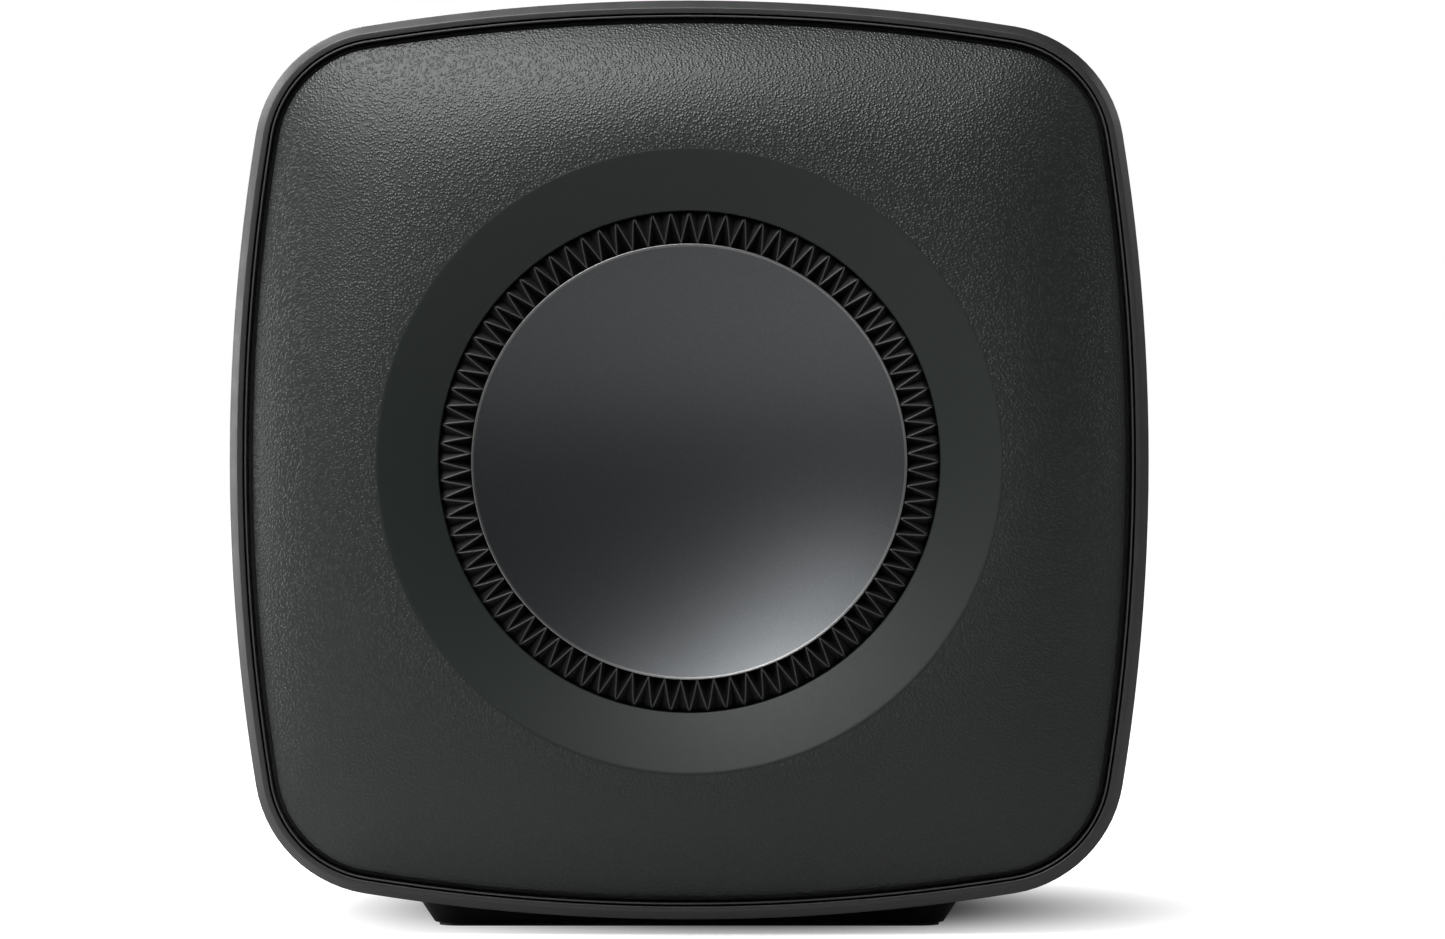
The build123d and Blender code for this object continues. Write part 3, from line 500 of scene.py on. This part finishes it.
def light_pipe_finish():
    m = Nodes("light_pipe_clear")
    m.colour(m.mix(m.noise(300, 2), (0.55, 0.6, 0.65), (0.75, 0.8, 0.85)))
    m.roughness(m.spread(m.noise(500, 2), 0.15, 0.3))
    m.set(Emission_Color=(0.75, 0.85, 1.0, 1), Emission_Strength=0.0, Coat_Weight=0.6)
    return m.material


MATERIALS = {
    "wrap_metal": wrap_finish(),
    "side_panel": panel_finish(),
    "trim_ring": ring_finish(),
    "surround_rubber": pleat_finish(),
    "cone_metal": cone_finish(),
    "seal_rubber": moulded("seal_rubber", grey(0.03), 0.40, 2200),
    "cast_alloy": moulded("cast_alloy", grey(0.30), 0.5, 700, 0.05 * MM, metallic=0.9),
    "bare_aluminium": metal_finish("milled_aluminium", grey(0.62), 0.35, (0.1, 1, 1)),
    "plated_steel": metal_finish("zinc_plate", (0.56, 0.57, 0.60), 0.32),
    "black_steel": metal_finish("blackened_steel", grey(0.035), 0.42, metallic=0.6),
    "nickel_brass": metal_finish("bright_brass", (0.78, 0.66, 0.38), 0.22),
    "ferrite": moulded("ground_ferrite", grey(0.035), 0.6, 900, 0.03 * MM),
    "copper_wire": winding_finish(),
    "spider_cloth": cloth_finish("spider_cloth", (0.52, 0.36, 0.12)),
    "rear_plate": moulded("rear_plate_paint", grey(0.016), 0.55, 1100, 0.06 * MM),
    "heatsink_black": metal_finish("black_anodised", grey(0.022), 0.42, (1, 1, 0.08), metallic=0.6),
    "knob_plastic": moulded("knob_soft_touch", grey(0.018), 0.58, 1600),
    "slider_plastic": moulded("slider_plastic", grey(0.35), 0.45, 1600),
    "control_bodies": moulded("control_bodies", grey(0.05), 0.45, 1200),
    "nickel_plate": metal_finish("nickel_plate", (0.72, 0.69, 0.63), 0.18),
    "phono_inserts": insert_finish(),
    "terminal_plastic": moulded("terminal_plastic", (0.010, 0.070, 0.028), 0.45, 1400),
    "socket_plastic": moulded("socket_plastic", grey(0.012), 0.42, 1500),
    "rocker_plastic": moulded("rocker_gloss", grey(0.012), 0.2, 1500, 0.003 * MM, edge=0.4 * MM),
    "circuit_board": board_finish(),
    "capacitor_sleeve": moulded("capacitor_sleeve", (0.010, 0.014, 0.050), 0.3, 1200),
    "transformer": moulded("transformer_varnish", (0.22, 0.13, 0.03), 0.4, 600),
    "device_epoxy": moulded("device_epoxy", grey(0.02), 0.5, 1500),
    "wire_jacket": moulded("wire_jacket", (0.30, 0.02, 0.02), 0.45, 1500),
    "damping_felt": cloth_finish("damping_felt", (0.70, 0.70, 0.68), 500),
    "light_pipe": light_pipe_finish(),
    "plinth_plastic": moulded("plinth_satin", grey(0.011), 0.38, 1600, edge=0.9 * MM),
    "pad_rubber": rubber_finish("pad_rubber", 0.009, 0.6),
}
MARK_PAINT = moulded("mark_paint", grey(0.62), 0.5, 1400)


def paint_frame():
    """Gives every CAD node the procedural finish of its own slot."""
    slots = {s["node"]: s["material_slot"] for s in frame["record"]["subparts"]}
    for name, node in frame["nodes"].items():
        finish = MATERIALS[slots[name]]
        for k in range(len(node.material_slots)):
            node.material_slots[k].link = "DATA"
            node.material_slots[k].material = finish
        if not node.material_slots:
            node.data.materials.append(finish)


# ---- cabinet ----
def rounded_slot(width, height, corner, low_y, high_y, centre, steps=8):
    """A rounded rectangular prism along Y, used to cut the wrap."""
    outline = []
    for cx, cz, first in ((1, 1, 0), (-1, 1, 90), (-1, -1, 180), (1, -1, 270)):
        for k in range(steps + 1):
            a = math.radians(first + 90 * k / steps)
            outline.append((
                centre[0] + cx * (width / 2 - corner) + corner * math.cos(a),
                centre[1] + cz * (height / 2 - corner) + corner * math.sin(a),
            ))
    count = len(outline)
    vertices = [(x, y, z) for y in (low_y, high_y) for x, z in outline]
    faces = [(k, (k + 1) % count, count + (k + 1) % count, count + k) for k in range(count)]
    faces += [tuple(range(count - 1, -1, -1)), tuple(range(count, 2 * count))]
    return vertices, faces


def cut(piece, vertices, faces):
    """Subtracts a closed shape from a piece for good."""
    tool = make_object("cutting_tool", vertices, faces, MATERIALS["wrap_metal"])
    step = piece.modifiers.new("cut", "BOOLEAN")
    step.operation, step.solver, step.object = "DIFFERENCE", "EXACT", tool
    bpy.context.view_layer.update()
    result = bpy.data.meshes.new_from_object(
        piece.evaluated_get(bpy.context.evaluated_depsgraph_get())
    )
    piece.modifiers.clear()
    piece.data = result
    bpy.data.objects.remove(tool)
    result.shade_smooth()
    result.set_sharp_from_angle(angle=math.radians(32))


def make_wrap():
    """The extruded wrap, its rims chamfered and every edge eased, with the rear cut-out."""
    edge = 0.3 * MM
    half = [
        (RIM_X - RIM_CHAMFER, 0.0, edge),
        (RIM_X, RIM_CHAMFER, edge),
        (RIM_X, WRAP_WALL, edge),
    ]
    profile = half + [(-x, inset, r) for x, inset, r in reversed(half)]
    loops = [section_loop(x, inset) for x, inset in soften(profile, edge)]
    wrap = from_loops("wrap", loops, MATERIALS["wrap_metal"])
    rear_width = rear_high.x - rear_low.x + 0.6 * MM
    rear_height = rear_high.z - rear_low.z + 0.6 * MM
    cut(wrap, *rounded_slot(rear_width, rear_height, 8 * MM, 100 * MM, 130 * MM, (0, MIDDLE_Z)))
    light_low, light_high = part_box("status_light")
    light_z = (light_low.z + light_high.z) / 2
    cut(wrap, *rounded_slot(3 * MM, 3 * MM, 1.49 * MM, light_low.y - 5 * MM, light_high.y,
                            (0, light_z), 4))
    finish_piece(wrap, "cabinet", "wrap_metal", "cabinet_wrap")


def dome_loop(part, inset, top_x, radius):
    """One outline of the dome: part is 0 at the panel's edge and 1 where it meets the circle."""
    a = DOME_START + (math.pi / 2 - DOME_START) * part
    rise = (math.sin(a) - math.sin(DOME_START)) / (1 - math.sin(DOME_START))
    x = PANEL_EDGE_X + (top_x - PANEL_EDGE_X) * rise
    return section_loop(x, inset, 1 - math.cos(a) / math.cos(DOME_START), radius)


def make_side_panel(side, sign):
    """The pillow-shaped panel, from its rounded-square edge up to the ring's circle."""
    bore = RING_RADIUS + 0.02 * MM
    top_x = APEX_X - 0.1 * MM
    rows, inner_rows = 30, 8
    inner = PANEL_INSET + PANEL_WALL
    loops = [
        section_loop(PANEL_FOOT_X, PANEL_INSET),
        section_loop(PANEL_EDGE_X - PANEL_ROUND_OFF, PANEL_INSET),
        section_loop(PANEL_EDGE_X - PANEL_ROUND_OFF * 0.3, PANEL_INSET + PANEL_ROUND_OFF * 0.15),
    ]
    loops += [dome_loop(k / rows, PANEL_INSET + PANEL_ROUND_OFF * 0.4, top_x, bore) for k in range(rows + 1)]
    shelf_x = FLANGE_X - 3.3 * MM
    under = shelf_x - 4.2 * MM
    for x, r in ((shelf_x, bore), (shelf_x, LEDGE_RADIUS), (under, LEDGE_RADIUS), (under, bore + 4 * MM)):
        loops.append(section_loop(x, 0, 1, r))
    inner_top = APEX_X - PANEL_WALL
    loops.append(section_loop(inner_top - 1 * MM, 0, 1, bore + 4 * MM))
    loops += [
        dome_loop(k / inner_rows, inner, inner_top, bore + 8 * MM) for k in range(inner_rows, -1, -1)
    ]
    loops.append(section_loop(PANEL_FOOT_X, inner))
    panel = from_loops(f"panel_{side}", loops, MATERIALS["side_panel"], sign)
    finish_piece(panel, "cabinet", "side_panel", f"side_panel_{side}")


def make_seal(side, sign):
    """The soft channel in the gap round the panel, with its thin round-topped lip."""
    floor_x = seal_high.x - SEAL_DEPTH
    lip_out, lip_in = WRAP_WALL + 0.45 * MM, WRAP_WALL + 0.95 * MM
    profile = [
        (floor_x - 5 * MM, WRAP_WALL + 0.1 * MM, 0.1 * MM),
        (floor_x, WRAP_WALL + 0.1 * MM, 0.1 * MM),
        (floor_x, lip_out, 0),
        (seal_high.x, lip_out, 0.22 * MM),
        (seal_high.x, lip_in, 0.22 * MM),
        (floor_x, lip_in, 0),
        (floor_x, PANEL_INSET - 0.1 * MM, 0.1 * MM),
        (floor_x - 5 * MM, PANEL_INSET - 0.1 * MM, 0.1 * MM),
    ]
    loops = [section_loop(x, inset) for x, inset in soften(profile, 0)]
    seal = from_loops(f"edge_seal_{side}", loops, MATERIALS["seal_rubber"], sign)
    finish_piece(seal, "cabinet", "seal_rubber", "edge_seals")


# ---- drivers ----
def make_trim_ring(side, sign):
    """The conical recess ring, hollow underneath, which leaves the panel over a soft crest."""
    inner = SURROUND_RADIUS + 0.2 * MM
    top = APEX_X - 0.1 * MM
    fall, run = top - RING_CREST - SURROUND_X, RING_RADIUS - inner
    slope = math.atan2(fall, run) + math.asin(RING_CREST / math.hypot(fall, run))
    steps = 12
    rolled = [
        (
            top - RING_CREST * (1 - math.cos(slope * k / steps)),
            RING_RADIUS - RING_CREST * math.sin(slope * k / steps),
        )
        for k in range(steps + 1)
    ]
    foot = soften([
        (rolled[-1][0], rolled[-1][1], 0),
        (SURROUND_X, inner, 0.6 * MM),
        (FLANGE_X + 0.9 * MM, inner, 0.15 * MM),
        (FLANGE_X + 0.9 * MM, RING_HOLLOW_INNER, 0),
        (FLANGE_X + 3.0 * MM, RING_HOLLOW_INNER, 0),
        (FLANGE_X + 4.2 * MM, RING_HOLLOW_OUTER, 0),
        (FLANGE_X, RING_HOLLOW_OUTER, 0),
        (FLANGE_X, RING_RADIUS, 0),
    ], 0, 5)
    ring = turned(f"ring_{side}", rolled + foot[1:], MATERIALS["trim_ring"], sign)
    finish_piece(ring, "cabinet", "trim_ring", f"trim_ring_{side}")


def dish_x(radius, offset=0.0):
    """How far out the dish's front face is at a radius."""
    sphere = (CONE_RADIUS ** 2 + CONE_DEPTH ** 2) / (2 * CONE_DEPTH)
    return CONE_EDGE_X - CONE_DEPTH - offset + sphere - math.sqrt(sphere ** 2 - radius ** 2)


def make_cone(side, sign):
    """The one-piece dish, thin, with a fine rounded rim."""
    rows = 40
    radii = [CONE_RADIUS * k / rows for k in range(1, rows)]
    front = [(dish_x(r), r) for r in radii if r < CONE_RADIUS - 1.2 * CONE_LIP]
    edge = soften([
        (dish_x(CONE_RADIUS - 1.2 * CONE_LIP), CONE_RADIUS - 1.2 * CONE_LIP, 0),
        (CONE_EDGE_X, CONE_RADIUS - 0.9 * CONE_LIP, 0.2 * MM),
        (CONE_EDGE_X, CONE_RADIUS, 0.25 * MM),
        (CONE_EDGE_X - CONE_THICKNESS, CONE_RADIUS, 0.2 * MM),
        (dish_x(CONE_RADIUS - 2 * MM, CONE_THICKNESS), CONE_RADIUS - 2 * MM, 0),
    ], 0, 4)
    back = [(dish_x(r, CONE_THICKNESS), r) for r in reversed(radii) if r < CONE_RADIUS - 3 * MM]
    tip = 1e-6
    profile = [(dish_x(0), tip)] + front + edge + back + [(dish_x(0, CONE_THICKNESS), tip)]
    cone = turned(f"dish_{side}", profile, MATERIALS["cone_metal"], sign)
    finish_piece(cone, f"diaphragm_{side}", "cone_metal", f"cone_{side}")


def pleat_depth(reach, across):
    """How far a pleat lies below its ridges. reach is 0 at the outer edge and 1 at the cone.

    across is 0 in the middle of an inner facet pair and 1 in the middle of an outer one."""
    end = max(0.0, 0.10 - reach, reach - 0.95)
    reach = min(max(reach, 0.0), 1.0)
    gap = reach - across
    rounding = 0.08
    eased = math.sqrt(gap * gap + rounding * rounding) - rounding
    deepest = PLEAT_DEPTH_INNER if gap > 0 else PLEAT_DEPTH_OUTER
    return eased * deepest + (end / 0.10) ** 2 * 0.9 * MM


def make_surround(side, sign):
    """The pleated rubber ring: zigzag ridges with folded facets between, in sectors.

    Each sector is a piece of its own, and neighbours meet on a fold."""
    steps_across = 6
    rows = 16
    overlap = 0.09
    inner_r, outer_r = CONE_RADIUS, SURROUND_RADIUS
    pitch = 2 * math.pi / PLEATS
    sectors = PLEATS // PLEATS_PER_SECTOR
    half_sector = pitch * PLEATS_PER_SECTOR / 2
    for s in range(sectors):
        # a ridge's outer tip stands straight up at the top, so sectors start half a pleat aside
        first = math.pi / 2 + s * 2 * half_sector + pitch / 2
        front, back, fold = [], [], []
        for row in range(rows + 1):
            reach = -overlap + (1 + 2 * overlap) * row / rows
            ridge = min(max(reach, 0.02), 0.98)
            r = outer_r - (outer_r - inner_r) * reach
            for pleat in range(PLEATS_PER_SECTOR):
                near = [(k / steps_across) ** 2 for k in range(steps_across + 1)]
                spots = [ridge + (1 - ridge) * t for t in reversed(near)]
                spots += [ridge * (1 - t) for t in near[1:]]
                mirrored = [-v for v in reversed(spots[:-1])]
                for v in (spots + mirrored)[: None if pleat == PLEATS_PER_SECTOR - 1 else -1]:
                    angle = first + pitch * (pleat + 0.5) - pitch * v / 2
                    x = PLEAT_TOP_X - pleat_depth(reach, abs(v))
                    y, z = r * math.cos(angle), DRIVER_Z + r * math.sin(angle)
                    front.append((sign * x, y, z))
                    back.append((sign * (x - RUBBER_THICKNESS), y, z))
                    # fold marks where the material paints its highlight: 1 on a ridge, falling to 0 a short
                    # way off it
                    off_ridge = abs(abs(v) - ridge) * pitch * r / 2
                    fold.append(max(0.0, 1 - off_ridge / RIDGE_HIGHLIGHT_HALF_WIDTH))
        width = len(front) // (rows + 1)
        count = len(front)
        faces = []
        for row in range(rows):
            for k in range(width - 1):
                a = row * width + k
                faces.append((a, a + 1, a + width + 1, a + width))
                faces.append((count + a, count + a + width, count + a + width + 1, count + a + 1))
        rim = [k for k in range(width)]
        rim += [row * width + width - 1 for row in range(1, rows + 1)]
        rim += [rows * width + k for k in range(width - 2, -1, -1)]
        rim += [row * width for row in range(rows - 1, 0, -1)]
        for a, b in zip(rim, rim[1:] + rim[:1]):
            faces.append((a, b, count + b, count + a))
        piece = make_object(
            f"pleats_{side}_{s + 1:02d}", front + back, faces, MATERIALS["surround_rubber"], 50
        )
        mark = piece.data.attributes.new("fold", "FLOAT", "POINT")
        mark.data.foreach_set("value", [*fold, *[0.0] * len(back)])
        middle = first + half_sector

        def point(radius, angle=middle):
            return (sign * PLEAT_TOP_X, radius * math.cos(angle), DRIVER_Z + radius * math.sin(angle))

        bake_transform(piece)
        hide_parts(f"surround_{side}")


# ---- rear controls ----
def make_knob(node, body):
    """A fluted knob with a domed face and a white pointer line, in place of the plain CAD one."""
    low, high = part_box(node)
    x, z = (low.x + high.x) / 2, (low.z + high.z) / 2
    radius = (high.x - low.x) / 2
    flutes, per_flute = 24, 8
    profile = soften([
        (low.y, radius * 0.98, 0.3 * MM),
        (low.y + 1.6 * MM, radius, 0.2 * MM),
        (high.y - 1.2 * MM, radius * 0.96, 0.8 * MM),
        (high.y - 0.2 * MM, radius * 0.82, 0.8 * MM),
        (high.y - 0.5 * MM, 0.6 * radius, 0.5 * MM),
        (high.y - 0.5 * MM, 1e-6, 0),
        (low.y, 1e-6, 0),
    ], 0, 5)
    vertices = []
    count = flutes * per_flute
    for y, r in profile:
        side_share = min(1, max(0, (r / radius - 0.86) / 0.08)) if y > low.y + 1.7 * MM else 0
        for k in range(count):
            a = 2 * math.pi * k / count
            groove = 0.45 * MM * max(0, math.cos(a * flutes)) ** 2 * side_share
            vertices.append((x + (r - groove) * math.cos(a), y, z + (r - groove) * math.sin(a)))
    faces = loops_to_faces(len(profile), count, True)
    knob = make_object(f"{node}_cap", vertices, faces, MATERIALS["knob_plastic"])
    finish_piece(knob, body, "knob_plastic", node)
    top = high.y - 0.48 * MM
    line = soften([(x - 0.45 * MM, z + 2 * MM), (x + 0.45 * MM, z + 2 * MM),
                   (x + 0.45 * MM, z + 7 * MM), (x - 0.45 * MM, z + 7 * MM)], 0.4 * MM, 5)
    count = len(line)
    vertices = [(px, py, pz) for py in (top - 0.1 * MM, top + 0.02 * MM) for px, pz in line]
    faces = [(k, (k + 1) % count, count + (k + 1) % count, count + k) for k in range(count)]
    faces += [tuple(range(count - 1, -1, -1)), tuple(range(count, 2 * count))]
    pointer = make_object(f"{node}_pointer", vertices, faces, MARK_PAINT)
    finish_piece(pointer, body, "knob_plastic")


# ---- stage, lights and camera ----
FLOOR_GLOW = 1.0
SHADE_GLOW = 0.02                            # the floor's glow in the middle of the contact shade
SHADE_INNER, SHADE_OUTER = 0.045, 0.135      # the contact shade fades out between these distances
SHADE_OFFSET = 0.015                         # it lies this far towards the back
SHADE_STRETCH = (0.8, 0.9, 1)                # below 1, it reaches further along that axis

# strength of the surround everywhere, and what is added towards the front and the floor
WORLD_EVEN = 0.21
WORLD_EXTRA = ((0, -0.25, 0), (0, 0, -0.19))


def make_stage():
    """A plain white floor that runs far back."""
    size = 12.0
    mesh = bpy.data.meshes.new("floor")
    mesh.from_pydata([(-size, -size, 0), (size, -size, 0), (size, size, 0), (-size, size, 0)],
                     [], [(0, 1, 2, 3)])
    floor = bpy.data.objects.new("floor", mesh)
    bpy.context.scene.collection.objects.link(floor)
    m = Nodes("floor_white")
    m.colour(m.mix(m.noise(2, 2), grey(0.50), grey(0.54)))
    m.set(Roughness=0.7, Specular_IOR_Level=0.1)
    # it glows for the camera alone, least under the object, so it reads white and casts no light up
    distance = m.tree.nodes.new("ShaderNodeVectorMath")
    distance.operation = "LENGTH"
    m.join(m.stretched(SHADE_STRETCH, (0, -SHADE_OFFSET, 0)), distance.inputs[0])
    glow = m.spread(distance.outputs["Value"], SHADE_GLOW, FLOOR_GLOW, SHADE_INNER, SHADE_OUTER)
    glow.node.interpolation_type = "SMOOTHSTEP"
    path = m.tree.nodes.new("ShaderNodeLightPath")
    seen = m.math("MULTIPLY", path.outputs["Is Camera Ray"], glow)
    m.join(seen, m.shader.inputs["Emission Strength"])
    m.set(Emission_Color=(1, 1, 1, 1))
    mesh.materials.append(m.material)


def make_softbox(name, sign, tilt, turn, distance, size, power):
    """A square softbox that faces the middle of one driver's side.

    tilt is its angle from the driver axis, and turn is its angle round that axis, from +Y towards +Z."""
    data = bpy.data.lights.new(name, "AREA")
    data.shape, data.size, data.energy = "SQUARE", size, power
    lamp = bpy.data.objects.new(name, data)
    bpy.context.scene.collection.objects.link(lamp)
    tilt, turn = math.radians(tilt), math.radians(turn)
    away = Vector((
        sign * math.cos(tilt), math.sin(tilt) * math.cos(turn), math.sin(tilt) * math.sin(turn)
    ))
    lamp.location = Vector((sign * RIM_X, 0, MIDDLE_Z)) + away * distance
    lamp.rotation_mode = "QUATERNION"
    lamp.rotation_quaternion = away.to_track_quat("Z", "Y")


def make_world():
    """White for the camera. For the light, a dim surround that is brighter in front and below."""
    world = bpy.data.worlds.new("studio")
    bpy.context.scene.world = world
    world.use_nodes = True
    tree = world.node_tree
    background = tree.nodes["Background"]
    direction = tree.nodes.new("ShaderNodeTexCoord").outputs["Generated"]
    total = None
    for towards in WORLD_EXTRA:
        share = tree.nodes.new("ShaderNodeVectorMath")
        share.operation = "DOT_PRODUCT"
        share.inputs[1].default_value = towards
        tree.links.new(direction, share.inputs[0])
        facing = tree.nodes.new("ShaderNodeMath")
        facing.operation = "MAXIMUM"
        facing.inputs[1].default_value = 0
        tree.links.new(share.outputs["Value"], facing.inputs[0])
        both = tree.nodes.new("ShaderNodeMath")
        both.inputs[0].default_value = WORLD_EVEN
        if total is not None:
            tree.links.new(total, both.inputs[0])
        tree.links.new(facing.outputs["Value"], both.inputs[1])
        total = both.outputs["Value"]
    path = tree.nodes.new("ShaderNodeLightPath")
    strength = tree.nodes.new("ShaderNodeMapRange")
    strength.inputs["To Max"].default_value = 1.0
    tree.links.new(path.outputs["Is Camera Ray"], strength.inputs["Value"])
    tree.links.new(total, strength.inputs["To Min"])
    tree.links.new(strength.outputs["Result"], background.inputs["Strength"])
    background.inputs["Color"].default_value = (1, 1, 1, 1)


def make_camera():
    """Level, square on to the right-hand driver, from well back."""
    distance = 1.8
    data = bpy.data.cameras.new("camera")
    data.sensor_width = 36.0
    # the wrap's section fills this share of the frame's width
    section_share = 0.6368
    data.lens = section_share * data.sensor_width * distance / (2 * HALF_SECTION)
    data.shift_x = 0.0230
    data.shift_y = -0.0067
    data.clip_start, data.clip_end = 0.05, 50
    camera = bpy.data.objects.new("camera", data)
    bpy.context.scene.collection.objects.link(camera)
    camera.location = (RIM_X + distance, 0, MIDDLE_Z)
    camera.rotation_mode = "QUATERNION"
    camera.rotation_quaternion = Vector((1, 0, 0)).to_track_quat("Z", "Y")
    bpy.context.scene.camera = camera


def make_lighting():
    """Near softboxes over the upper front of each side, and far ones in front and behind."""
    for side, sign in SIDES:
        for name, tilt, turn, power in (
            ("low", 45, 112, 0.49),
            ("front", 45, 135, 0.88),
            ("top", 60, 90, 1.5),
            ("mid", 60, 112, 2.86),
            ("high", 75, 112, 1.4),
        ):
            make_softbox(f"{name}_{side}", sign, tilt, turn, 0.7, 0.3, power)
    make_softbox("edge", 1, 115, 125, 1.2, 0.45, 5.8)
    make_softbox("far", 1, 100, 150, 1.2, 0.45, 5.6)
    make_softbox("strip", 1, 95, 180, 1.5, 0.45, 6.5)
    make_softbox("back", 1, 97, 25, 1.3, 0.6, 2)
    make_world()
    bpy.context.scene.view_settings.view_transform = "Standard"


paint_frame()
make_wrap()
for side, sign in SIDES:
    make_side_panel(side, sign)
    make_seal(side, sign)
    make_trim_ring(side, sign)
    make_cone(side, sign)
    make_surround(side, sign)
for node, body in (
    ("volume_knob", "volume_control"),
    ("crossover_knob", "crossover_control"),
    ("eq_knob", "eq_control"),
):
    make_knob(node, body)

make_stage()
make_camera()
make_lighting()
